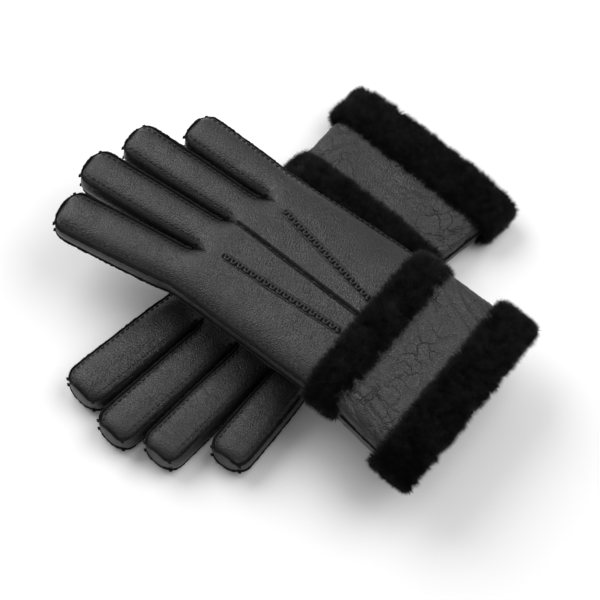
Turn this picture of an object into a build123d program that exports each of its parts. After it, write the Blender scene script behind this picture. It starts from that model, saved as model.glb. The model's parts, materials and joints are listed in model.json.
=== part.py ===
from build123d import *
import os
from math import cos, radians, sin

# A pair of shearling gloves that lies crossed, backs up: the right glove on top of the left one.
# Each glove is drawn in its own axes: x runs from the wrist to the fingertips, y across the hand
# and z up from the palm. The row's origin lies under the middle of the left palm, on the table.

os.makedirs("parts", exist_ok=True)

# materials
leather = 1.4  # sheepskin thickness
hand_wool = 4.0  # clipped wool inside the hand and the cuff
finger_wool = 3.4
thumb_wool = 2.0
clearance = 0.3  # between pieces that move past each other
knuckle_gap = 0.5  # between a barrel end and the hollow that holds it

# hand
hand_height = 24.0
index_edge = -46.5  # side seam beside the index finger
pinky_edge = 54.6  # side seam beside the little finger
wrist_index_edge = -53.0
wrist_pinky_edge = 54.0
hand_rounding = 11.0  # radius of the pillow edge
wrist_end = -4.0  # where the back leather meets the fur band

# fingers, from the index to the little finger
finger_names = ["index", "middle", "ring", "pinky"]
finger_widths = [27.0, 24.5, 24.0, 23.5]
finger_lengths = [83.0, 88.0, 84.0, 68.0]  # from the knuckle axis to the tip
knuckle_places = [96.0, 97.5, 93.0, 85.0]  # along the hand
finger_height = 21.0
finger_rounding = 9.2
finger_spacing = 0.7  # between two fingers at the knuckles
finger_taper = 1.5  # half width lost towards the tip
fourchette_height = 11.0

# thumb
thumb_width = 26.0
thumb_reach = 60.0  # from the thumb's pivot to its tip
thumb_height = 12.0
thumb_tip_width = 21.0
thumb_rounding = 4.6
thumb_hole = 15.0  # opening between the hand and the thumb

# cuff
cuff_hinge_place = -26.0
cuff_length = 31.0  # leather panel, from the fold to the fur trim
trim_length = 27.0
cuff_flare = 2.5  # each side grows by this towards the trim
cuff_fold = 6.5  # leather left out at the fold so that the cuff can turn up
band_width = 116.0
band_height = 27.5
trim_width = 130.0
trim_height = 28.0
fur_rounding = 12.0
trim_rounding = 6.0
barrel_narrowing = 12.0  # of the cuff's wool, where it turns inside the hand's

# decoration on the back of the hand: three points
point_height = 1.0
stitch_pitch = 4.4
stitch_length = 3.2
stitch_width = 1.2
stitch_rows_apart = 3.4
centre_point_width = 1.8
centre_point = [(-3.0, -1.3), (88.0, 6.0)]
outer_points = [[(-2.0, 10.0), (72.0, 28.0)], [(-1.0, -16.0), (82.0, -16.5)]]

finger_mid = finger_height / 2 + clearance
knuckle_radius = finger_height / 2


def write(part, name):
    part.label = name
    export_step(part, f"parts/{name}.step")


def side_plane(plane):
    # the upright plane through a piece's x axis, in which hinge profiles are drawn
    return Plane(origin=plane.origin, x_dir=plane.x_dir, z_dir=-plane.y_dir)


def pillow(outline, plane, height, rounding, inset=0.0):
    # a soft slab: the outline drawn in by the inset, with every edge well rounded
    with BuildPart() as slab:
        with BuildSketch(plane):
            add(outline)
            if inset:
                offset(amount=-inset, kind=Kind.INTERSECTION)
        extrude(amount=height / 2 - inset, both=True)
        fillet(slab.edges().filter_by(plane), rounding - inset)
    return slab.part


def barrel(plane, radius, width, forward, tuck):
    # what a finger keeps: all that is ahead of the knuckle axis, and behind it
    # only the part of the barrel that lies above the height called tuck
    with BuildPart() as keep:
        with BuildSketch(side_plane(plane)):
            Circle(radius)
            with Locations((0, tuck - radius)):
                Rectangle(2 * radius, 2 * radius, mode=Mode.SUBTRACT)
            with Locations((forward / 2, 0)):
                Rectangle(forward, 3 * radius)
        extrude(amount=width, both=True)
    return keep.part


def finger_outline(width, length):
    half = width / 2
    tip = half - finger_taper
    with BuildSketch() as outline:
        with BuildLine():
            edge = Polyline((length - tip, tip), (5, half), (-15, half - 3), (-15, 3 - half), (5, -half), (length - tip, -tip))
            ThreePointArc(edge @ 1, (length, 0), edge @ 0)
        make_face()
    return outline.sketch


def finger_plane(hand, side, splay, number):
    widths = finger_widths[:number]
    start = index_edge + sum(widths) + finger_spacing * number
    middle = start + finger_widths[number] / 2
    knuckle = (knuckle_places[number], side * middle, finger_mid - hand_height / 2)
    turned = radians(splay[number])
    ahead = hand.x_dir * cos(turned) + hand.y_dir * (side * sin(turned))
    return Plane(origin=hand.from_local_coords(knuckle), x_dir=ahead, z_dir=hand.z_dir)


def knuckle_cut(plane, width):
    # the room in the hand that one finger needs to turn in
    radius = knuckle_radius + knuckle_gap
    with BuildPart() as tool:
        with BuildSketch(side_plane(plane)):
            Circle(radius)
            with Locations((20, 0)):
                Rectangle(40, 6 * radius)
            with Locations((-radius / 2, -radius)):
                Rectangle(radius, 2 * radius)
        extrude(amount=width / 2 + finger_spacing / 2 + 1.5, both=True)
    return tool.part


def make_finger(glove, hand, side, splay, number):
    name = f"{glove}_{finger_names[number]}"
    width = finger_widths[number]
    length = finger_lengths[number]
    plane = finger_plane(hand, side, splay, number)
    outline = finger_outline(width, length)
    inner = pillow(outline, plane, finger_height, finger_rounding, leather)
    cavity = pillow(outline, plane, finger_height, finger_rounding, leather + finger_wool)

    with BuildPart() as shell:
        add(pillow(outline, plane, finger_height, finger_rounding))
        add(barrel(plane, knuckle_radius, width, length + 5, 0.6 * knuckle_radius), mode=Mode.INTERSECT)
        with BuildPart(mode=Mode.SUBTRACT):
            add(inner)
            add(barrel(plane, knuckle_radius - leather, width, length + 5, -knuckle_radius), mode=Mode.INTERSECT)

    # side strips run from the knuckle to where the fingertip starts to round, on each
    # side that faces another finger; the outer sides are sewn back to palm
    inward = [1, 0, -1] if number in (1, 2) else [1, 0] if number == 0 else [0, -1]
    with BuildPart() as strips:
        with BuildSketch(plane.offset(-fourchette_height / 2)):
            for way in inward:
                if way:
                    with Locations(((length - width / 2) / 2, side * way * width / 2)):
                        Rectangle(length - width / 2, width - 4)
        extrude(amount=fourchette_height)

    with BuildPart() as back:
        add(shell.part)
        split(bisect_by=plane, keep=Keep.TOP)
        add(strips.part, mode=Mode.SUBTRACT)
    write(back.part, f"{name}_back")

    with BuildPart() as palm:
        add(shell.part)
        split(bisect_by=plane, keep=Keep.BOTTOM)
        add(strips.part, mode=Mode.SUBTRACT)
    write(palm.part, f"{name}_palm")

    with BuildPart() as fourchettes:
        add(shell.part)
        add(strips.part, mode=Mode.INTERSECT)
    write(fourchettes.part, f"{name}_fourchettes")

    with BuildPart() as lining:
        add(inner)
        add(cavity, mode=Mode.SUBTRACT)
        split(bisect_by=Plane(origin=plane.origin, z_dir=plane.x_dir), keep=Keep.TOP)
    write(lining.part, f"{name}_lining")
    return plane


def thumb_outline():
    with BuildSketch() as outline:
        Circle(thumb_width / 2)
        with Locations((thumb_reach - thumb_tip_width / 2, 0)):
            Circle(thumb_tip_width / 2)
        make_hull()
    return outline.sketch


def make_thumb(glove, plane):
    outline = thumb_outline()
    inner = pillow(outline, plane, thumb_height, thumb_rounding, leather)
    cavity = pillow(outline, plane, thumb_height, thumb_rounding, leather + thumb_wool)

    with BuildPart() as hole:
        with BuildSketch(plane):
            Circle(thumb_hole / 2)
        extrude(amount=thumb_height)

    with BuildPart() as shell:
        add(pillow(outline, plane, thumb_height, thumb_rounding))
        add(inner, mode=Mode.SUBTRACT)
        add(hole.part, mode=Mode.SUBTRACT)

    with BuildPart() as back:
        add(shell.part)
        split(bisect_by=plane, keep=Keep.TOP)
    write(back.part, f"{glove}_thumb_back")

    with BuildPart() as palm:
        add(shell.part)
        split(bisect_by=plane, keep=Keep.BOTTOM)
    write(palm.part, f"{glove}_thumb_palm")

    with BuildPart() as lining:
        add(inner)
        add(cavity, mode=Mode.SUBTRACT)
        add(hole.part, mode=Mode.SUBTRACT)
    write(lining.part, f"{glove}_thumb_lining")


def thumb_room(plane):
    # the recess in the hand for the thumb, and the opening that joins the two
    with BuildPart() as room:
        with BuildSketch(plane.offset(-thumb_height)):
            add(thumb_outline())
            offset(amount=clearance + 0.1)
        extrude(amount=1.5 * thumb_height + clearance)
        with BuildSketch(plane):
            Circle(thumb_hole / 2)
        extrude(amount=hand_height / 2 + thumb_height / 2)
    return room.part


def hand_outline(side):
    front = [
        (knuckle_places[0] + 2.5, index_edge),
        (knuckle_places[1] + 2.5, -8),
        (knuckle_places[2] + 3.5, 24),
        (knuckle_places[3] + 2.5, pinky_edge),
    ]
    index_side = [(-70, wrist_index_edge), (0, wrist_index_edge), (50, index_edge - 2)]
    pinky_side = [(50, pinky_edge), (0, wrist_pinky_edge), (-70, wrist_pinky_edge)]
    with BuildSketch() as outline:
        with BuildLine():
            Polyline(*[(x, side * y) for x, y in index_side + front + pinky_side], close=True)
        make_face()
        fillet(outline.vertices(), 6)
    return outline.sketch


def cross_plane(plane, place):
    # the upright plane across a glove, its x axis across the hand and its y axis up
    return Plane(
        origin=plane.from_local_coords((place, 0, -hand_height / 2)), x_dir=plane.y_dir, z_dir=plane.x_dir
    )


def fold_barrel(cuff, radius):
    # a full barrel about the cuff's fold
    with BuildPart() as keep:
        with BuildSketch(side_plane(cuff)):
            Circle(radius)
        extrude(amount=trim_width, both=True)
    return keep.part


def make_hand(glove, hand, side, splay, thumb, cuff):
    outline = hand_outline(side)
    inner = pillow(outline, hand, hand_height, hand_rounding, leather)
    cavity = pillow(outline, hand, hand_height, hand_rounding, leather + hand_wool)
    knuckles = [
        knuckle_cut(finger_plane(hand, side, splay, number), finger_widths[number]) for number in range(4)
    ]
    room = thumb_room(thumb)

    with BuildPart() as shell:
        add(pillow(outline, hand, hand_height, hand_rounding))
        split(bisect_by=Plane(origin=hand.from_local_coords((wrist_end, 0, 0)), z_dir=hand.x_dir), keep=Keep.TOP)
        add([inner, *knuckles, room], mode=Mode.SUBTRACT)

    with BuildPart() as back:
        add(shell.part)
        split(bisect_by=hand, keep=Keep.TOP)
    write(back.part, f"{glove}_back_panel")

    with BuildPart() as palm:
        add(shell.part)
        split(bisect_by=hand, keep=Keep.BOTTOM)
    write(palm.part, f"{glove}_palm_panel")

    with BuildPart() as lining:
        add(inner)
        fold = hand.from_local_coords((cuff_hinge_place, 0, 0))
        split(bisect_by=Plane(origin=fold, z_dir=hand.x_dir), keep=Keep.TOP)
        hollow = [cavity, *knuckles, room, fold_barrel(cuff, hand_height / 2 + knuckle_gap)]
        add(hollow, mode=Mode.SUBTRACT)
    write(lining.part, f"{glove}_hand_lining")

    # the fur band stands on the lining, flattened against the palm side
    with BuildPart() as band:
        with BuildSketch(cross_plane(hand, wrist_end)):
            with Locations((0, band_height / 2)):
                RectangleRounded(band_width, band_height, fur_rounding)
        extrude(amount=-(wrist_end - cuff_hinge_place - cuff_fold))
        add(inner, mode=Mode.SUBTRACT)
    write(band.part, f"{glove}_wrist_fur_band")


def make_points(glove, hand, side):
    top = hand.offset(hand_height / 2)
    with BuildPart() as centre:
        start, end = [Vector(x, side * y) for x, y in centre_point]
        run = end - start
        along = Plane(
            origin=top.from_local_coords((start + end) / 2),
            x_dir=top.x_dir * run.X + top.y_dir * run.Y,
            z_dir=top.z_dir,
        )
        with BuildSketch(along):
            Rectangle(run.length, centre_point_width)
        extrude(amount=point_height)
        chamfer(centre.faces().sort_by(Axis.Z)[-1].edges().group_by(SortBy.LENGTH)[-1], 0.5)
    write(centre.part, f"{glove}_centre_point")

    with BuildPart() as stitches:
        for row in outer_points:
            start, end = [Vector(x, side * y) for x, y in row]
            run = end - start
            along = Plane(
                origin=top.from_local_coords(start),
                x_dir=top.x_dir * run.X + top.y_dir * run.Y,
                z_dir=top.z_dir,
            )
            count = int(run.length / stitch_pitch)
            with BuildSketch(along):
                for number in range(count):
                    for way in (-1, 1):
                        place = ((number + 0.5) * stitch_pitch, way * stitch_rows_apart / 2)
                        with Locations(place):
                            Rectangle(stitch_length, stitch_width, rotation=way * 25)
            extrude(amount=point_height)
    write(stitches.part, f"{glove}_point_stitches")


def cuff_slab(cuff, side, inset, near, far, narrowing=0.0):
    # a flat tube's outer shape: about as wide as the wrist ahead of the fold, wider behind it
    with BuildPart() as slab:
        for place in (near, 0, far):
            flare = cuff_flare * max(0, -place) / cuff_length - narrowing * max(0, place) / near
            width = wrist_pinky_edge - wrist_index_edge + 2 * flare
            with BuildSketch(cross_plane(cuff, place)):
                with Locations((side * (wrist_pinky_edge + wrist_index_edge) / 2, hand_height / 2)):
                    RectangleRounded(width - 2 * inset, hand_height - 2 * inset, hand_rounding - inset)
        loft(ruled=True)
    return slab.part


def make_cuff(glove, side, cuff):
    # drawn in the cuff's own axes, whose origin is the fold and whose x axis still points
    # to the fingers, so the cuff lies at negative x
    wool_face = leather + hand_wool
    with BuildPart() as shell:
        add(cuff_slab(cuff, side, 0, 1, -cuff_length))
        split(bisect_by=Plane(origin=cuff.origin, z_dir=cuff.x_dir), keep=Keep.BOTTOM)
        add(cuff_slab(cuff, side, leather, 2, -cuff_length - 1), mode=Mode.SUBTRACT)

    with BuildPart() as back:
        add(shell.part)
        split(bisect_by=cuff, keep=Keep.TOP)
    write(back.part, f"{glove}_cuff_back")

    with BuildPart() as palm:
        add(shell.part)
        split(bisect_by=cuff, keep=Keep.BOTTOM)
    write(palm.part, f"{glove}_cuff_palm")

    # the wool's front end is a barrel about the fold, so that it turns inside the hand's wool
    with BuildPart() as reach:
        with BuildSketch(side_plane(cuff)):
            Circle(hand_height / 2)
            with Locations((-cuff_length / 2, 0)):
                Rectangle(cuff_length, 2 * hand_height)
        extrude(amount=trim_width, both=True)
    with BuildPart() as lining:
        add(cuff_slab(cuff, side, leather, hand_height, -cuff_length, barrel_narrowing))
        add(reach.part, mode=Mode.INTERSECT)
        cavity = cuff_slab(cuff, side, wool_face, hand_height, -cuff_length - 1, barrel_narrowing)
        add(cavity, mode=Mode.SUBTRACT)
    write(lining.part, f"{glove}_cuff_lining")

    with BuildPart() as trim:
        with BuildSketch(cross_plane(cuff, -cuff_length)):
            with Locations((0, trim_height / 2)):
                RectangleRounded(trim_width, trim_height, fur_rounding)
        extrude(amount=-trim_length)
        fillet(trim.edges().filter_by(cross_plane(cuff, 0)), trim_rounding)
        mouth = cross_plane(cuff, -cuff_length)
        with BuildSketch(mouth):
            with Locations((side * (wrist_pinky_edge + wrist_index_edge) / 2, hand_height / 2)):
                width = wrist_pinky_edge - wrist_index_edge + 2 * cuff_flare
                RectangleRounded(width - 2 * wool_face, hand_height - 2 * wool_face, hand_rounding - wool_face)
        extrude(amount=-trim_length, mode=Mode.SUBTRACT)
    write(trim.part, f"{glove}_cuff_fur_trim")


def make_glove(glove, side, corner, heading, lift, splay, thumb_pivot, thumb_turn, thumb_bottom, cuff_drop):
    # corner is where the glove's own origin stands, at the wrist, and heading its x axis
    hand = Plane(
        origin=(*corner, lift + hand_height / 2),
        x_dir=(cos(radians(heading)), sin(radians(heading)), 0),
        z_dir=(0, 0, 1),
    )
    turned = radians(thumb_turn)
    thumb = Plane(
        origin=hand.from_local_coords(
            (thumb_pivot[0], side * thumb_pivot[1], thumb_bottom - lift + (thumb_height - hand_height) / 2)
        ),
        x_dir=hand.x_dir * cos(turned) + hand.y_dir * (side * sin(turned)),
        z_dir=hand.z_dir,
    )
    drop = radians(cuff_drop)
    cuff = Plane(
        origin=hand.from_local_coords((cuff_hinge_place, 0, 0)),
        x_dir=hand.x_dir * cos(drop) + hand.z_dir * sin(drop),
        z_dir=hand.z_dir * cos(drop) - hand.x_dir * sin(drop),
    )
    make_hand(glove, hand, side, splay, thumb, cuff)
    make_points(glove, hand, side)
    for number in range(4):
        make_finger(glove, hand, side, splay, number)
    make_thumb(glove, thumb)
    make_cuff(glove, side, cuff)


make_glove(
    "left", side=1, corner=(0.0, 50.0), heading=-90.0, lift=0.0,
    splay=[-4.0, -1.0, 1.5, 6.0],
    thumb_pivot=(29.0, -48.0), thumb_turn=-26.0, thumb_bottom=0.0, cuff_drop=0.0,
)  # fmt: skip
# the right glove lies on the left one's points, with its own thumb folded between the two
right_thumb_bottom = hand_height + point_height + clearance
make_glove(
    "right", side=-1, corner=(57.6, -1.7), heading=185.9,
    lift=right_thumb_bottom + thumb_height + clearance,
    splay=[-6.5, -2.5, 0.5, 3.0],
    thumb_pivot=(30.0, -32.0), thumb_turn=8.0, thumb_bottom=right_thumb_bottom, cuff_drop=16.0,
)  # fmt: skip
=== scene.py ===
import json
import math
import bpy
import numpy as np
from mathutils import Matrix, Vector, noise


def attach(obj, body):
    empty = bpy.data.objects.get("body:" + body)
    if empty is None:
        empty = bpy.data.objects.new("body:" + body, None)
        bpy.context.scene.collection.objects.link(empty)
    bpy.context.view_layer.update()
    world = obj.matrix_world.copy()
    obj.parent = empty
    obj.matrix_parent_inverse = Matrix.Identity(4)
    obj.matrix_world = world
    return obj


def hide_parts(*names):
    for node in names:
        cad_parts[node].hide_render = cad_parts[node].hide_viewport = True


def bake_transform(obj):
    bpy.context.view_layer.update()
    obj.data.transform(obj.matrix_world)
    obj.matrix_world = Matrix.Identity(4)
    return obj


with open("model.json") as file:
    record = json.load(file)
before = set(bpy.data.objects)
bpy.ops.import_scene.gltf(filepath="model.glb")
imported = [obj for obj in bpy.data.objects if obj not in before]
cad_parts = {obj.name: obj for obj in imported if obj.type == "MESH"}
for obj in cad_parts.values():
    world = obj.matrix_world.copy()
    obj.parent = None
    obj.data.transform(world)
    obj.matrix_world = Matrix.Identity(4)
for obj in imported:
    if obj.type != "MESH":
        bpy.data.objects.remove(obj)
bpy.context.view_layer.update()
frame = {"record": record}
jointOf = {joint["name"]: joint for joint in frame["record"]["behaviour"]["joints"]}
mm = 0.001
upAxis = np.array([0.0, 0.0, 1.0])

# one pattern serves both gloves: sizes in mm, x from the wrist to the tips, y towards the little finger
pattern = {
    "fingers": ["index", "middle", "ring", "pinky"],
    "lengths": [83.0, 88.0, 84.0, 68.0],
    "widths": [27.0, 24.5, 24.0, 23.5],
    "knuckles": [96.0, 97.5, 93.0, 85.0],
    "edges": [-46.5, -19.15, 6.05, 30.75, 54.6],   # side seams and crotches
    "wristEdges": [-52.5, -26.0, 0.5, 27.0, 53.5],
    "fold": -26.0,                                 # where the cuff turns up
    "handHeight": 24.0,
    "fingerHeight": 21.0,
    "fingerMid": 10.8,
    "tipWidening": 1.4,                            # plump tips, still clear of their neighbours
    "across": 18,                                  # faces across a strip
    "handSteps": 34,
    "fingerSteps": 34,
    "tipSteps": 9,
}
gloves = {
    "left": {"side": 1, "cuffDrop": 0.0},
    "right": {"side": -1, "cuffDrop": math.radians(16)},
}


# ---------- materials ----------

def linear(code):
    parts = [int(code[i:i + 2], 16) / 255 for i in (1, 3, 5)]
    return tuple(c / 12.92 if c <= 0.04045 else ((c + 0.055) / 1.055) ** 2.4 for c in parts) + (1.0,)


def addNode(tree, kind, settings=None, **links):
    # settings are a node's own properties or its sockets' values; links are socket=output
    node = tree.nodes.new(kind)
    for key, value in (settings or {}).items():
        if hasattr(node, key):
            setattr(node, key, value)
        else:
            node.inputs[key].default_value = value
    for key, output in links.items():
        tree.links.new(output, node.inputs[key.replace("_", " ")])
    return node


def newMaterial(name):
    material = bpy.data.materials.new(name)
    material.use_nodes = True
    tree = material.node_tree
    shader = tree.nodes["Principled BSDF"]
    coords = addNode(tree, "ShaderNodeTexCoord").outputs["Object"]
    return material, tree, shader, coords


def ramp(tree, factor, low, high, start, end):
    node = addNode(tree, "ShaderNodeValToRGB", Fac=factor)
    node.color_ramp.elements[0].position = start
    node.color_ramp.elements[0].color = low
    node.color_ramp.elements[1].position = end
    node.color_ramp.elements[1].color = high
    return node.outputs["Color"]


def grey(value):
    return (value, value, value, 1.0)


def sheepskinNapa(name, creasing):
    # black drum-dyed sheepskin with a pigment finish: semi-gloss, pebbled, softly creased
    material, tree, shader, coords = newMaterial(name)
    cloud = addNode(tree, "ShaderNodeTexNoise", {"Scale": 38.0, "Detail": 5.0}, Vector=coords)
    tone = ramp(tree, cloud.outputs["Fac"], linear("#0e0e0f"), linear("#1b1b1c"), 0.3, 0.72)
    tree.links.new(tone, shader.inputs["Base Color"])
    warp = addNode(tree, "ShaderNodeTexNoise", {"Scale": 260.0, "Detail": 2.0}, Vector=coords)
    shift = addNode(tree, "ShaderNodeVectorMath", {"operation": "MULTIPLY"})
    tree.links.new(warp.outputs["Color"], shift.inputs[0])
    shift.inputs[1].default_value = (0.0016, 0.0016, 0.0016)
    moved = addNode(tree, "ShaderNodeVectorMath", {"operation": "ADD"})
    tree.links.new(coords, moved.inputs[0])
    tree.links.new(shift.outputs[0], moved.inputs[1])
    # pores and pebbles about 1.2 mm apart
    edges = "DISTANCE_TO_EDGE"
    grain = addNode(tree, "ShaderNodeTexVoronoi", {"feature": edges, "Scale": 720.0}, Vector=moved.outputs[0])
    pebble = ramp(tree, grain.outputs["Distance"], grey(0.0), grey(1.0), 0.0, 0.22)
    # drawn creases, longer and a few millimetres apart
    uneven = {"Scale": 105.0, "Detail": 3.0, "Roughness": 0.6}
    wander = addNode(tree, "ShaderNodeTexNoise", uneven, Vector=coords)
    away = addNode(tree, "ShaderNodeVectorMath", {"operation": "MULTIPLY"})
    tree.links.new(wander.outputs["Color"], away.inputs[0])
    away.inputs[1].default_value = (0.013, 0.013, 0.013)
    wandered = addNode(tree, "ShaderNodeVectorMath", {"operation": "ADD"})
    tree.links.new(coords, wandered.inputs[0])
    tree.links.new(away.outputs[0], wandered.inputs[1])
    crease = addNode(tree, "ShaderNodeTexVoronoi", {"feature": edges, "Scale": 105.0},
                     Vector=wandered.outputs[0])
    drawn = ramp(tree, crease.outputs["Distance"], grey(0.0), grey(1.0), 0.0, 0.055)
    area = addNode(tree, "ShaderNodeTexNoise", {"Scale": 34.0, "Detail": 1.0}, Vector=coords)
    creased = ramp(tree, area.outputs["Fac"], grey(0.04), grey(creasing), 0.44, 0.64)
    slack = {"Scale": 110.0, "Detail": 6.0, "Roughness": 0.6}
    soft = addNode(tree, "ShaderNodeTexNoise", slack, Vector=coords)
    patch = addNode(tree, "ShaderNodeTexNoise", {"Scale": 26.0, "Detail": 2.0}, Vector=coords)
    worn = ramp(tree, patch.outputs["Fac"], grey(0.33), grey(0.47), 0.35, 0.7)
    tree.links.new(worn, shader.inputs["Roughness"])
    first = addNode(tree, "ShaderNodeBump", {"Strength": 0.22, "Distance": 0.0011},
                    Height=soft.outputs["Fac"])
    second = addNode(tree, "ShaderNodeBump", {"Distance": 0.00045},
                     Strength=creased, Height=drawn, Normal=first.outputs[0])
    third = addNode(tree, "ShaderNodeBump", {"Strength": 0.5, "Distance": 0.00026},
                    Height=pebble, Normal=second.outputs[0])
    tree.links.new(third.outputs[0], shader.inputs["Normal"])
    shader.inputs["Specular IOR Level"].default_value = 0.46
    shader.inputs["Coat Weight"].default_value = 0.05
    shader.inputs["Coat Roughness"].default_value = 0.3
    return material


def sheepFur(name, dark, light):
    # undyed-looking black wool: matt, with a faint sheen where the tips catch the light
    material, tree, shader, coords = newMaterial(name)
    clump = addNode(tree, "ShaderNodeTexNoise", {"Scale": 240.0, "Detail": 3.0}, Vector=coords)
    tone = ramp(tree, clump.outputs["Fac"], linear(dark), linear(light), 0.35, 0.75)
    tree.links.new(tone, shader.inputs["Base Color"])
    shader.inputs["Roughness"].default_value = 0.9
    shader.inputs["Specular IOR Level"].default_value = 0.12
    shader.inputs["Sheen Weight"].default_value = 0.06
    shader.inputs["Sheen Roughness"].default_value = 0.5
    return material


def waxedThread():
    # twisted polyester thread, waxed: a little brighter than the skin beside it
    material, tree, shader, coords = newMaterial("waxedThread")
    twist = addNode(tree, "ShaderNodeTexNoise", {"Scale": 1500.0, "Detail": 2.0}, Vector=coords)
    tone = ramp(tree, twist.outputs["Fac"], linear("#080808"), linear("#1b1a1b"), 0.3, 0.7)
    tree.links.new(tone, shader.inputs["Base Color"])
    shader.inputs["Roughness"].default_value = 0.5
    bump = addNode(tree, "ShaderNodeBump", {"Strength": 0.3, "Distance": 0.0002}, Height=twist.outputs["Fac"])
    tree.links.new(bump.outputs[0], shader.inputs["Normal"])
    return material


leatherSkin = sheepskinNapa("sheepskinNapa", 0.4)
cuffLeather = sheepskinNapa("creasedNapa", 1.0)
furBlack = sheepFur("sheepFur", "#050505", "#171717")
# the dark wool material dresses the raw edges of the seams, and also serves as painted shade in the groove
# under the points' zigzag stitches
woolPileAndGrooveShade = sheepFur("clippedWool", "#060606", "#161616")
thread = waxedThread()


# ---------- mesh helpers ----------

def makeObject(name, verts, faces, materials, smooth=True, slots=None):
    mesh = bpy.data.meshes.new(name)
    mesh.from_pydata(np.asarray(verts).tolist(), [], faces)
    for material in materials:
        mesh.materials.append(material)
    if slots is not None:
        mesh.polygons.foreach_set("material_index", slots)
    mesh.polygons.foreach_set("use_smooth", [smooth] * len(mesh.polygons))
    mesh.update()
    piece = bpy.data.objects.new(name, mesh)
    bpy.context.scene.collection.objects.link(piece)
    return piece


def finishShell(piece, levels=1):
    # close the seams of a lofted shell, turn it outwards and round it off
    bpy.ops.object.select_all(action="DESELECT")
    bpy.context.view_layer.objects.active = piece
    piece.select_set(True)
    bpy.ops.object.mode_set(mode="EDIT")
    bpy.ops.mesh.select_all(action="SELECT")
    bpy.ops.mesh.remove_doubles(threshold=0.00002)
    bpy.ops.mesh.dissolve_degenerate(threshold=0.00001)
    bpy.ops.mesh.normals_make_consistent(inside=False)
    bpy.ops.object.mode_set(mode="OBJECT")
    if levels:
        rounding = piece.modifiers.new("rounding", "SUBSURF")
        rounding.levels = rounding.render_levels = levels
        bpy.ops.object.modifier_apply(modifier=rounding.name)
    return piece


def gridFaces(rows, columns, start=0, closed=False):
    faces = []
    wide = columns if closed else columns - 1
    for r in range(rows - 1):
        for c in range(wide):
            a = start + r * columns + c
            b = start + r * columns + (c + 1) % columns
            faces.append((a, b, b + columns, a + columns))
    return faces


def smoothStep(value):
    t = np.clip(value, 0.0, 1.0)
    return t * t * (3 - 2 * t)


def unit(vector):
    return vector / np.linalg.norm(vector)


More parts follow.
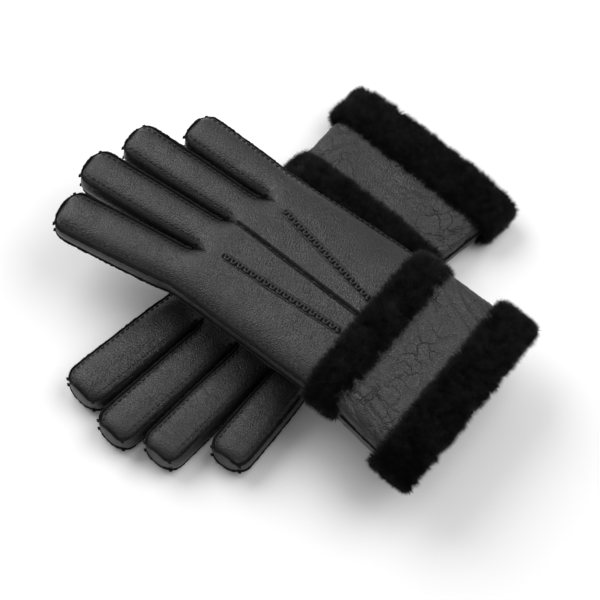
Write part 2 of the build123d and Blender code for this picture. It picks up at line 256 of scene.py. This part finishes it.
class Glove:
    # the glove's own axes, read from its fold joint, and its surface
    def __init__(self, name):
        self.name = name
        self.side = gloves[name]["side"]
        fold = jointOf[f"{name}_cuff_fold"]
        self.acrossAxis = unit(np.array(fold["axis"]))
        self.along = np.cross(self.acrossAxis, upAxis)
        self.foldPoint = np.array(fold["pos_m"])
        self.origin = (self.foldPoint - self.along * pattern["fold"] * mm
                       - upAxis * pattern["handHeight"] / 2 * mm)
        self.strips = [self.buildStrip(i) for i in range(4)]

    def place(self, points):
        # glove millimetres (x, towards the little finger, z above the palm) to the row's metres
        points = np.asarray(points, float)
        flat = points.reshape(-1, 3) * mm
        out = (self.origin + flat[:, :1] * self.along + flat[:, 1:2] * self.side * self.acrossAxis
               + flat[:, 2:] * upAxis)
        return out.reshape(points.shape)

    def fingerFrame(self, number):
        joint = jointOf[f"{self.name}_{pattern['fingers'][number]}_knuckle"]
        ahead = np.cross(np.array(joint["axis"]), upAxis)
        local = (np.array(joint["pos_m"]) - self.origin) / mm
        base = np.array([local @ self.along, self.side * (local @ self.acrossAxis)])
        way = np.array([ahead @ self.along, self.side * (ahead @ self.acrossAxis)])
        return base, way, np.array([-way[1], way[0]])

    def handTop(self, x, y):
        # half thickness of the hand, a pillow that thins at the side seams
        low = np.interp(x, [-30, 97], [pattern["wristEdges"][0], pattern["edges"][0]])
        high = np.interp(x, [-30, 97], [pattern["wristEdges"][4], pattern["edges"][4]])
        s = np.clip(2 * (y - low) / (high - low) - 1, -1, 1)
        return 12.0 * (1 - np.abs(s) ** 5.2) ** 0.5

    def buildStrip(self, number):
        # one finger with the part of the hand behind it: top and palm grids of points
        p = pattern
        base, way, over = self.fingerFrame(number)
        length, half = p["lengths"][number], p["widths"][number] / 2
        tipHalf, tipReach = half + p["tipWidening"], half * 0.82
        crotch = [
            np.array([min(p["knuckles"][max(b - 1, 0)], p["knuckles"][min(b, 3)]) + 1.0, p["edges"][b]])
            for b in (number, number + 1)
        ]
        ownHeight = p["fingerHeight"] / 2
        rows = []
        for k in range(p["handSteps"] + 1):
            t = k / p["handSteps"]
            ends = []
            for which, b in enumerate((number, number + 1)):
                wrist = np.array([-30.0, p["wristEdges"][b]])
                bulge = 1.8 * math.sin(math.pi * t) * (1 if b == 4 else 0)
                ends.append(wrist + (crotch[which] - wrist) * t + np.array([0, bulge]))
            rows.append((ends[0], ends[1], 1.0, t))
        straight = length - tipReach
        for k in range(1, p["fingerSteps"] + p["tipSteps"] + 1):
            if k <= p["fingerSteps"]:
                f = k / p["fingerSteps"]
                x = straight * f
                wide = half + p["tipWidening"] * f + 0.4 * math.sin(math.pi * f)
                thick = 1 - 0.06 * f
            else:
                a = (k - p["fingerSteps"]) / p["tipSteps"] * math.pi / 2
                x = straight + tipReach * math.sin(a) ** 0.8
                wide = tipHalf * max(math.cos(a), 0.0) ** 0.8
                thick = 0.94 * max(math.cos(a), 0.0) ** 0.6
            settle = smoothStep(np.array(x / 14.0)).item()
            ends = []
            for which, sign in enumerate((-1, 1)):
                own = base + way * x + over * sign * wide
                start = crotch[which] + way * x
                ends.append(start * (1 - settle) + own * settle)
            rows.append((ends[0], ends[1], thick, 1.0 + x))
        across = p["across"]
        s = np.sin(np.linspace(-math.pi / 2, math.pi / 2, across + 1))
        top, low = [], []
        for left, right, thick, t in rows:
            xy = left + (right - left) * ((s + 1) / 2)[:, None]
            fingerShare = thick * ownHeight * (1 - np.abs(s) ** 2.7) ** 0.5
            # the hand's pillow turns into separate fingers around the crotches
            x = xy[:, 0]
            hand = self.handTop(x, xy[:, 1])
            if t <= 1.0:
                reach = [smoothStep((x - crotch[i][0] + 9) / 16) for i in (0, 1)]
                if number == 0:
                    reach[0] = reach[1]
                if number == 3:
                    reach[1] = reach[0]
            else:
                reach = [smoothStep(np.full(across + 1, (t - 1 + 9) / 16))] * 2
            mix = ((reach[0] * (1 - s) + reach[1] * (1 + s)) / 2) ** 1.3
            inner = hand * (1 - mix) + fingerShare * mix
            mid = 12.0 * (1 - mix) + p["fingerMid"] * mix
            top.append(np.column_stack([xy, mid + inner]))
            low.append(np.column_stack([xy, mid - inner]))
        return np.array(top), np.array(low)


# ---------- leather ----------

def softCreases(points, strength):
    # shallow folds and slack of worn leather; a function of place, so strips stay joined
    out = np.empty(len(points))
    for i, q in enumerate(points):
        v = Vector(q)
        fold = 1 - abs(noise.noise(v / 0.017 + Vector((3.1, 7.7, 1.3))))
        out[i] = strength * (0.7 * noise.noise(v / 0.028) + 0.35 * noise.noise(v / 0.009) - 0.2 * fold ** 8)
    return out


def leatherStrip(glove, number):
    top, low = glove.strips[number]
    rows, columns = top.shape[:2]
    verts = np.vstack([glove.place(top.reshape(-1, 3)), glove.place(low.reshape(-1, 3))])
    faces = gridFaces(rows, columns)
    faces += [tuple(reversed(face)) for face in gridFaces(rows, columns, rows * columns)]
    for column, flip in ((0, False), (columns - 1, True)):
        for r in range(pattern["handSteps"], rows - 1):
            wall = [r * columns + column, (r + 1) * columns + column]
            wall += [rows * columns + wall[1], rows * columns + wall[0]]
            faces.append(tuple(reversed(wall)) if flip else tuple(wall))
    name = f"{glove.name}_{pattern['fingers'][number]}_leather"
    piece = finishShell(makeObject(name, verts, faces, [leatherSkin]))
    mesh = piece.data
    points = np.empty(len(mesh.vertices) * 3)
    mesh.vertices.foreach_get("co", points)
    points = points.reshape(-1, 3)
    middle = glove.origin[2] + 0.0115
    lift = np.clip((points[:, 2] - middle) / 0.006, -1, 1)
    points[:, 2] += softCreases(points, 0.0006) * lift
    points[:, 2] = np.maximum(points[:, 2], glove.origin[2] + 0.0002)
    mesh.vertices.foreach_set("co", points.ravel())
    mesh.update()
    return piece


def outwards(piece):
    # a strip is open where its neighbour joins it, so check which way its top faces
    best = max(piece.data.polygons, key=lambda face: face.center.z * (1 if face.area > 0 else 0))
    if best.normal.z < 0:
        piece.data.flip_normals()
    return piece


def shareNormals(pieces):
    # the same normal on both sides of every join, so the joins don't show
    table = {}
    for piece in pieces:
        for vertex in piece.data.vertices:
            key = tuple(round(c * 20000) for c in vertex.co)
            table[key] = table.get(key, Vector()) + vertex.normal
    for piece in pieces:
        normals = [table[tuple(round(c * 20000) for c in v.co)].normalized() for v in piece.data.vertices]
        piece.data.normals_split_custom_set_from_vertices(normals)


# ---------- seams ----------

class Pile:
    # gathers many small shapes into one mesh
    def __init__(self):
        self.verts, self.faces, self.slots = [], [], []

    def add(self, verts, faces, slot=0):
        start = len(self.verts)
        self.verts += [tuple(v) for v in verts]
        self.faces += [tuple(start + i for i in face) for face in faces]
        self.slots += [slot] * len(faces)

    def tube(self, path, radius, sides=6, flat=1.0, slot=0, wobble=0.0):
        path = np.asarray(path)
        rings = []
        for i, point in enumerate(path):
            ahead = unit(path[min(i + 1, len(path) - 1)] - path[max(i - 1, 0)])
            across = unit(np.cross(ahead, upAxis))
            rise = np.cross(across, ahead)
            grow = 1 + wobble * noise.noise(Vector(point) / 0.0013)
            taper = 0.35 if i in (0, len(path) - 1) else 1.0
            for k in range(sides):
                a = 2 * math.pi * (k + 0.5) / sides
                spoke = across * math.cos(a) + rise * math.sin(a) * flat
                rings.append(point + taper * grow * radius * spoke)
        faces = gridFaces(len(path), sides, closed=True)
        faces.append(tuple(range(sides)))
        faces.append(tuple(reversed(range((len(path) - 1) * sides, len(path) * sides))))
        self.add(rings, faces, slot)

    def stitch(self, middle, ahead, rise, length, radius, slot=0):
        ahead = unit(ahead)
        path = [middle - ahead * length / 2 - rise * radius * 0.9, middle - ahead * length * 0.25,
                middle + rise * radius * 0.35, middle + ahead * length * 0.25,
                middle + ahead * length / 2 - rise * radius * 0.9]
        self.tube(path, radius, sides=5, slot=slot)

    def build(self, name, materials):
        piece = makeObject(name, self.verts, self.faces, materials, slots=self.slots)
        bpy.ops.object.select_all(action="DESELECT")
        bpy.context.view_layer.objects.active = piece
        piece.select_set(True)
        bpy.ops.object.mode_set(mode="EDIT")
        bpy.ops.mesh.select_all(action="SELECT")
        bpy.ops.mesh.normals_make_consistent(inside=False)
        bpy.ops.object.mode_set(mode="OBJECT")
        return piece


def resample(path, spacing):
    path = np.asarray(path)
    steps = np.linalg.norm(np.diff(path, axis=0), axis=1)
    run = np.concatenate([[0], np.cumsum(steps)])
    places = np.arange(0, run[-1], spacing)
    return np.column_stack([np.interp(places, run, path[:, i]) for i in range(3)])


seam = {
    "column": 3,            # which line along the strip carries the raised seam
    "outerColumn": 2,       # the same at the glove's sides
    "height": 0.9,          # mm the raw edge stands proud
    "thickness": 0.75,
    "ear": 2.6,             # mm the corners stick out at the fingertips
    "earThickness": 1.1,
    "stitchEvery": 3.7,
    "stitchLength": 2.5,
    "stitchThickness": 0.42,
}


def fingerSeams(glove, number):
    # raw-edged seams round the finger's back and round its palm, with running stitches inside them
    pile = Pile()
    for grid, up in zip(glove.strips[number], (1, -1)):
        columns = grid.shape[1] - 1
        last = grid.shape[0] - 4
        rise = upAxis * up
        edges = []
        for sideNumber in (0, 1):
            outer = (number, sideNumber) in ((0, 0), (3, 1))
            inset = seam["outerColumn"] if outer else seam["column"]
            first = 7 if outer else pattern["handSteps"] + 1
            column, inwards = (inset, 2) if sideNumber == 0 else (columns - inset, -2)
            edges.append(grid[first:last, column])
            stitches = resample(glove.place(grid[first:last, column + inwards]), seam["stitchEvery"] * mm)
            for a, b in zip(stitches[:-1], stitches[1:]):
                pile.stitch((a + b) / 2 + rise * 0.00025, b - a, rise, seam["stitchLength"] * mm,
                            seam["stitchThickness"] * mm, slot=1)
        across = grid[last, seam["column"] + 1:columns - seam["column"]]
        path = np.vstack([edges[0], across, edges[1][::-1]])
        # the raw edges end in a small pointed corner at each side of the tip
        middle = edges[0][-1] / 2 + edges[1][-1] / 2
        for corner in (edges[0][-1], edges[1][-1]):
            away = unit(corner - middle)
            ear = [corner, corner + away * seam["ear"] * 0.5, corner + away * seam["ear"]]
            pile.tube(glove.place(ear) + rise * 0.0005, seam["earThickness"] * mm)
        line = resample(glove.place(path), 0.0011) + rise * (0.0003 + seam["height"] * mm * 0.4)
        pile.tube(line, seam["thickness"] * mm, sides=6, flat=1.25, slot=0, wobble=0.6)
    return pile.build(f"{glove.name}_{pattern['fingers'][number]}_seams", [woolPileAndGrooveShade, thread])


def surfaceHeight(glove, x, y):
    return 12.0 + glove.handTop(np.array([x]), np.array([y]))[0]


backLines = {
    "centre": [(-3.0, -1.3), (90.0, 6.0)],
    "rows": [[(-2.0, 10.0), (72.0, 28.0)], [(-1.0, -16.0), (82.0, -16.5)]],
    "pitch": 2.3,
    "apart": 2.4,
    "thickness": 0.8,
}


def backPoints(glove):
    # three decorative points: a pinched ridge between two rows of braided stitches
    pile = Pile()
    start, end = [np.array(q) for q in backLines["centre"]]
    path = []
    for t in np.linspace(0, 1, 60):
        q = start + (end - start) * t
        path.append([*q, surfaceHeight(glove, *q) + 0.15 - 2.2 * max(0, t - 0.75)])
    ridge = glove.place(path)
    pile.tube(ridge, 0.0018, sides=8, flat=0.6, slot=0, wobble=0.1)
    pile.tube(resample(ridge, 0.0011) + upAxis * 0.0008, 0.0011, sides=6, flat=0.9, slot=2, wobble=0.7)
    for row in backLines["rows"]:
        start, end = [np.array(q) for q in row]
        run = np.linalg.norm(end - start)
        ahead = (end - start) / run
        over = np.array([-ahead[1], ahead[0]])
        for way in (-1, 1):
            welt = []
            for t in np.linspace(0, 1, 40):
                q = start + (end - start) * t + over * way * backLines["apart"] * 0.8
                welt.append([*q, surfaceHeight(glove, *q) - 0.2])
            pile.tube(glove.place(welt), 0.0009, sides=6, flat=0.7, slot=0)
        # a flat strip of the dark wool material under the zigzag: painted shade in the groove between the two
        # welts
        grooveShadeStrip = [[*q, surfaceHeight(glove, *q) + 0.05] for q in np.linspace(start, end, 60)]
        pile.tube(glove.place(grooveShadeStrip), 0.0021, sides=8, flat=0.2, slot=2)
        # the thread steps from one row to the other and back
        zigzag = []
        for number in range(int(run / backLines["pitch"])):
            way = 1 if number % 2 else -1
            for part, rise in ((0.08, 0.55), (0.5, 0.95), (0.92, 0.55)):
                q = start + ahead * (number + part) * backLines["pitch"] + over * way * backLines["apart"] / 2
                zigzag.append([*q, surfaceHeight(glove, *q) + rise])
        pile.tube(glove.place(zigzag), backLines["thickness"] * mm, sides=6, slot=1)
    return pile.build(f"{glove.name}_points", [leatherSkin, thread, woolPileAndGrooveShade])


# ---------- thumb and cuff ----------

def superRing(wide, high, count, power=2.6):
    a = np.linspace(0, 2 * math.pi, count, endpoint=False)
    c, s = np.cos(a), np.sin(a)
    return np.column_stack([wide * np.sign(c) * np.abs(c) ** (2 / power),
                            high * np.sign(s) * np.abs(s) ** (2 / power)])


def thumbShell(glove):
    # a flattened stall with a round tip; its root lies in the hand's recess
    joint = jointOf[f"{glove.name}_thumb_pivot"]
    pivot = np.array(joint["pos_m"])
    turn = math.radians(-26.0 if glove.name == "left" else 8.0)
    aim = glove.along * math.cos(turn) + glove.acrossAxis * glove.side * math.sin(turn)
    over = np.cross(upAxis, aim)
    rows = []
    stations = 30
    for k in range(stations + 1):
        a = math.pi * k / stations
        x = 23.5 - 36.3 * math.cos(a)
        body = np.interp(x, [-12.8, 20, 60], [12.8, 12.4, 10.2])
        ends = min(1.0, math.sqrt(max(0.0, 1 - (max(0, abs(x - 23.5) - 25.5) / 10.8) ** 2)))
        ring = superRing(body * ends, 5.8 * ends ** 0.7, 28)
        rows.append([pivot + (aim * x + over * q[0] + upAxis * q[1]) * mm for q in ring])
    rows = np.array(rows)
    faces = gridFaces(stations + 1, 28, closed=True)
    shell = makeObject(f"{glove.name}_thumb_leather", rows.reshape(-1, 3), faces, [leatherSkin])
    # the thumb's seam runs down one side, round the tip and back
    pile = Pile()
    edge = np.vstack([rows[12:-1, 0], rows[12:-1, 14][::-1]])
    pile.tube(resample(edge, 0.0011), seam["thickness"] * mm, wobble=0.6)
    for column in (4, 10):
        stitches = resample(rows[12:-3, column], seam["stitchEvery"] * mm)
        for a, b in zip(stitches[:-1], stitches[1:]):
            pile.stitch((a + b) / 2, b - a, upAxis, seam["stitchLength"] * mm,
                        seam["stitchThickness"] * mm, slot=1)
    return finishShell(shell), pile.build(f"{glove.name}_thumb_seams", [woolPileAndGrooveShade, thread])


gusset = {"radius": 11.5, "halfHeight": 5.5, "lift": 4.0}


def thumbGusset(glove):
    # the round gusset that joins the thumb's root to the palm; the thumb turns about its middle
    pivot = np.array(jointOf[f"{glove.name}_thumb_pivot"]["pos_m"])
    middle = Vector(pivot + upAxis * gusset["lift"] * mm)
    wide, high = gusset["radius"] * mm, gusset["halfHeight"] * mm
    bpy.ops.object.select_all(action="DESELECT")
    bpy.ops.mesh.primitive_uv_sphere_add(segments=40, ring_count=20, radius=1.0)
    piece = bpy.context.object
    piece.name = f"{glove.name}_thumb_gusset"
    for vertex in piece.data.vertices:
        vertex.co = middle + Vector((vertex.co.x * wide, vertex.co.y * wide, vertex.co.z * high))
    piece.data.materials.append(leatherSkin)
    bpy.ops.object.shade_smooth()
    return piece


cuff = {"panelEnd": -33.0, "halfWidth": 54.0, "flare": 2.4, "steps": 26, "around": 120}


def cuffPlace(glove, points):
    # cuff millimetres: x from the fold towards the fingers, y to the little finger, z from mid height
    drop = gloves[glove.name]["cuffDrop"]
    ahead = glove.along * math.cos(drop) + upAxis * math.sin(drop)
    rise = upAxis * math.cos(drop) - glove.along * math.sin(drop)
    q = np.asarray(points).reshape(-1, 3) * mm
    return glove.foldPoint + q[:, :1] * ahead + q[:, 1:2] * glove.side * glove.acrossAxis + q[:, 2:] * rise


def cuffPanel(glove):
    # the leather between the two furs, creased across where the wrist bends
    rows = []
    for x in np.linspace(7, cuff["panelEnd"], cuff["steps"]):
        t = max(0.0, -x / 31.0)
        ring = superRing(cuff["halfWidth"] + cuff["flare"] * t, 11.9, cuff["around"], 4.6)
        ring[:, 0] += 0.5
        rows.append(np.column_stack([np.full(len(ring), x), ring]))
    rows = np.array(rows)
    verts = cuffPlace(glove, rows)
    faces = gridFaces(cuff["steps"], cuff["around"], closed=True)
    piece = finishShell(makeObject(f"{glove.name}_cuff_leather", verts, faces, [cuffLeather]))
    mesh = piece.data
    co = np.empty(len(mesh.vertices) * 3)
    mesh.vertices.foreach_get("co", co)
    co = co.reshape(-1, 3)
    normal = np.empty(len(mesh.vertices) * 3)
    mesh.vertices.foreach_get("normal", normal)
    normal = normal.reshape(-1, 3)
    side = 1 if np.sum((co - co.mean(axis=0)) * normal) > 0 else -1
    for i in range(len(co)):
        # folds run from fur to fur, a little askew
        u, w = (co[i] - glove.foldPoint) @ glove.along, (co[i] - glove.foldPoint) @ glove.acrossAxis
        v = Vector((u / 0.034, (w + 0.4 * u) / 0.011, co[i][2] / 0.02 + glove.side * 3))
        deep = 1 - abs(noise.noise(v))
        fine = 1 - abs(noise.noise(v * 2.3 + Vector((4.0, 1.0, 7.0))))
        depth = 0.0006 * noise.noise(v * 0.6) - 0.0007 * deep ** 7 - 0.0003 * fine ** 6
        co[i] += normal[i] * side * depth
    co[:, 2] = np.maximum(co[:, 2], 0.0002)
    mesh.vertices.foreach_set("co", co.ravel())
    if side < 0:
        mesh.flip_normals()
    mesh.update()
    return piece


def cuffSeams(glove):
    # the side seams of the cuff: a raised raw edge and a row of stitches above it
    pile = Pile()
    for side in (-1, 1):
        lines = []
        for inset, z in ((0.2, 2.2), (1.6, 5.2)):
            line = []
            for x in np.linspace(-2, cuff["panelEnd"], 24):
                t = max(0.0, -x / 31.0)
                line.append([x, 0.5 + side * (cuff["halfWidth"] + cuff["flare"] * t - inset + 0.2), z])
            lines.append(cuffPlace(glove, line))
        pile.tube(resample(lines[0], 0.0011), 0.0007, wobble=0.6)
        stitches = resample(lines[1], seam["stitchEvery"] * mm)
        outwardsNow = glove.side * glove.acrossAxis * side
        for a, b in zip(stitches[:-1], stitches[1:]):
            pile.stitch((a + b) / 2, b - a, outwardsNow, seam["stitchLength"] * mm,
                        seam["stitchThickness"] * mm, slot=1)
    return pile.build(f"{glove.name}_cuff_seams", [woolPileAndGrooveShade, thread])


fur = {
    "band": 58000,          # hairs in a wrist band
    "trim": 110000,
    "mostAtOnce": 60000,    # hairs in one piece
    "length": 5.6,
    "base": 0.19,
    "spread": 0.34,
    "clump": 0.6,
}


def tufts(name, centres, normals, seed, floor):
    # each hair is a slim three-sided spike; neighbours lean together in soft clumps
    rng = np.random.default_rng(seed)
    count = len(centres)
    clump = np.array([noise.noise_vector(Vector(q) / 0.0045) for q in centres])
    wave = np.array([noise.noise_vector(Vector(q) / 0.014) for q in centres])
    lean = normals + clump * fur["clump"] * 1.6 + wave * 0.5 + rng.normal(0, fur["spread"], (count, 3))
    lean /= np.linalg.norm(lean, axis=1)[:, None]
    length = fur["length"] * mm * rng.uniform(0.6, 1.1, count) * (1 + 0.3 * clump[:, 0])
    across = np.cross(lean, rng.normal(0, 1, (count, 3)))
    across /= np.linalg.norm(across, axis=1)[:, None]
    other = np.cross(lean, across)
    width = fur["base"] * mm * rng.uniform(0.8, 1.3, count)
    verts = np.empty((count, 4, 3))
    root = centres - normals * 0.0006
    for k in range(3):
        a = 2 * math.pi * k / 3
        verts[:, k] = root + (across * math.cos(a) + other * math.sin(a)) * width[:, None]
    verts[:, 3] = root + lean * length[:, None]
    verts[:, :, 2] = np.maximum(verts[:, :, 2], floor)
    start = np.arange(count)[:, None] * 4
    faces = np.concatenate([start + q for q in ([0, 1, 3], [1, 2, 3], [2, 0, 3])]).tolist()
    return makeObject(name, verts.reshape(-1, 3), faces, [furBlack])


def furRing(glove, name, near, far, wide, high, low, endRound, seed, count, mouth):
    # a fur strip round the glove: a dense body under the locks, rounded at both edges
    around = 96
    profile = []
    for k in range(13):
        a = math.pi * k / 12
        x = (near + far) / 2 + (near - far) / 2 * math.cos(a)
        profile.append((x, 1 - endRound * (1 - math.sin(a) ** 0.55)))
    rows = []
    for x, swell in profile:
        ring = superRing(wide * (0.9 + 0.1 * swell), 1.0, around, 3.4)
        upper = ring[:, 1] > 0
        ring[:, 1] = np.where(upper, ring[:, 1] * high * swell, ring[:, 1] * low * (0.75 + 0.25 * swell))
        ring[:, 0] += 0.5
        rows.append(np.column_stack([np.full(around, x), ring]))
    if mouth:
        for x, shrink in ((far, 1.0), (far + 6, 0.97), (far + 22, 0.95), (far + 40, 0.93)):
            ring = superRing(48.0 * shrink, 6.6 * shrink, around, 3.4)
            ring[:, 0] += 0.5
            rows.append(np.column_stack([np.full(around, x), ring]))
    rows = np.array(rows)
    flat = rows.reshape(-1, 3)
    verts = cuffPlace(glove, flat) if mouth else glove.place(flat + upAxis * pattern["handHeight"] / 2)
    faces = gridFaces(len(rows), around, closed=True)
    if mouth:
        faces.append(tuple(range((len(rows) - 1) * around, len(rows) * around)))
    body = finishShell(makeObject(f"{name}_body", verts, faces, [furBlack]), levels=1)
    outer = verts.reshape(len(rows), around, 3)
    last = len(profile) + (2 if mouth else 0)
    rng = np.random.default_rng(seed)
    grid = outer[:last]
    lengthwise = grid[1:] - grid[:-1]
    sideways = np.roll(grid, -1, axis=1)[:-1] - grid[:-1]
    cell = np.linalg.norm(np.cross(lengthwise, sideways), axis=2)
    share = (cell / cell.sum()).ravel()
    pick = rng.choice(share.size, count, p=share)
    r, c = np.divmod(pick, around)
    a, b = rng.random(count)[:, None], rng.random(count)[:, None]
    c2 = (c + 1) % around
    p00, p10, p01, p11 = grid[r, c], grid[r + 1, c], grid[r, c2], grid[r + 1, c2]
    spot = (p00 * (1 - a) + p10 * a) * (1 - b) + (p01 * (1 - a) + p11 * a) * b
    normal = np.cross(p10 - p00, p01 - p00)
    normal /= np.maximum(np.linalg.norm(normal, axis=1), 1e-12)[:, None]
    centre = outer[:len(profile)].reshape(-1, 3).mean(axis=0)
    flip = np.sign(np.sum(normal * (p00 - centre), axis=1))
    inMouth = r >= len(profile) - 1
    flip[inMouth] = np.sign(np.sum(normal * (centre - p00), axis=1))[inMouth]
    flip[flip == 0] = 1
    normal *= flip[:, None]
    pieces = [body]
    for start in range(0, count, fur["mostAtOnce"]):
        part = slice(start, start + fur["mostAtOnce"])
        label = f"{name}_hair_{len(pieces)}"
        pieces.append(tufts(label, spot[part], normal[part], seed + len(pieces), 0.0003))
    return pieces


# ---------- build the pair ----------

for gloveName in gloves:
    glove = Glove(gloveName)
    print("leather of the", gloveName, "glove")
    strips = [outwards(leatherStrip(glove, number)) for number in range(4)]
    shareNormals(strips)
    for number, finger in enumerate(pattern["fingers"]):
        joint = jointOf[f"{gloveName}_{finger}_knuckle"]
        ahead = np.cross(np.array(joint["axis"]), upAxis)
        for piece in (strips[number], fingerSeams(glove, number)):
            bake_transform(piece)
        parts = ("back", "palm", "fourchettes", "lining")
        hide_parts(*[f"{gloveName}_{finger}_{part}" for part in parts])
    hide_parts(f"{gloveName}_back_panel", f"{gloveName}_palm_panel", f"{gloveName}_hand_lining")

    print("points, thumb and cuff")
    decoration = backPoints(glove)
    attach(decoration, f"{gloveName}_hand")
    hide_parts(f"{gloveName}_centre_point", f"{gloveName}_point_stitches")

    root = thumbGusset(glove)
    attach(root, f"{gloveName}_hand")
    thumb, thumbEdge = thumbShell(glove)
    for piece in (thumb, thumbEdge):
        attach(piece, f"{gloveName}_thumb")
    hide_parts(*[f"{gloveName}_thumb_{part}" for part in ("back", "palm", "lining")])

    panel, sides = cuffPanel(glove), cuffSeams(glove)
    for piece in (panel, sides):
        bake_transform(piece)
    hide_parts(f"{gloveName}_cuff_back", f"{gloveName}_cuff_palm", f"{gloveName}_cuff_lining")

    print("fur")
    seed = 11 if gloveName == "left" else 47
    band = furRing(glove, f"{gloveName}_wrist_fur", -5.0, -25.5, 54.5, 14.2, 11.6, 0.22,
                   seed, fur["band"], False)
    for piece in band:
        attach(piece, f"{gloveName}_hand")
    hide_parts(f"{gloveName}_wrist_fur_band")
    trim = furRing(glove, f"{gloveName}_cuff_fur", -31.5, -56.0, 61.0, 14.2, 11.6, 0.25,
                   seed + 5, fur["trim"], True)
    for piece in trim:
        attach(piece, f"{gloveName}_cuff")
    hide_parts(f"{gloveName}_cuff_fur_trim")


# ---------- studio ----------

def softLight(name, place, aim, size, watts):
    light = bpy.data.lights.new(name, "AREA")
    light.shape = "DISK"
    light.size = size
    light.energy = watts
    lamp = bpy.data.objects.new(name, light)
    lamp.location = place
    lamp.rotation_euler = (Vector(aim) - Vector(place)).to_track_quat("-Z", "Y").to_euler()
    bpy.context.scene.collection.objects.link(lamp)


print("studio")
bpy.ops.object.select_all(action="DESELECT")
bpy.ops.mesh.primitive_plane_add(size=6.0, location=(0, 0, 0))
floor = bpy.context.object
floor.name = "floor"
paper, tree, shader, coords = newMaterial("studioPaper")
shader.inputs["Base Color"].default_value = linear("#f4f4f4")
shader.inputs["Roughness"].default_value = 0.9
floor.data.materials.append(paper)

aim = (0.0136, -0.0005, 0.020)
azimuth, elevation, distance = math.radians(43.0), math.radians(60.0), 1.5845
level = math.cos(elevation)
back = Vector((math.sin(azimuth) * level, -math.cos(azimuth) * level, math.sin(elevation)))
cameraData = bpy.data.cameras.new("camera")
cameraData.sensor_width = 36.0
cameraData.lens = 165.3
camera = bpy.data.objects.new("camera", cameraData)
camera.location = Vector(aim) + back * distance
camera.rotation_euler = back.to_track_quat("Z", "Y").to_euler()
bpy.context.scene.collection.objects.link(camera)
bpy.context.scene.camera = camera

left = Vector((-math.cos(azimuth), -math.sin(azimuth), 0))
ahead = Vector((-math.sin(azimuth), math.cos(azimuth), 0))
softLight("windowLight", tuple(left * 0.75 + ahead * 0.85 + Vector((0, 0, 1.15))), aim, 1.5, 19.0)
softLight("fillLight", tuple(-left * 0.9 + ahead * 0.1 + Vector((0, 0, 1.3))), aim, 1.4, 13.0)
world = bpy.data.worlds.new("studio")
world.use_nodes = True
world.node_tree.nodes["Background"].inputs["Color"].default_value = (1, 1, 1, 1)
world.node_tree.nodes["Background"].inputs["Strength"].default_value = 0.45
bpy.context.scene.world = world
bpy.context.scene.view_settings.view_transform = "Standard"
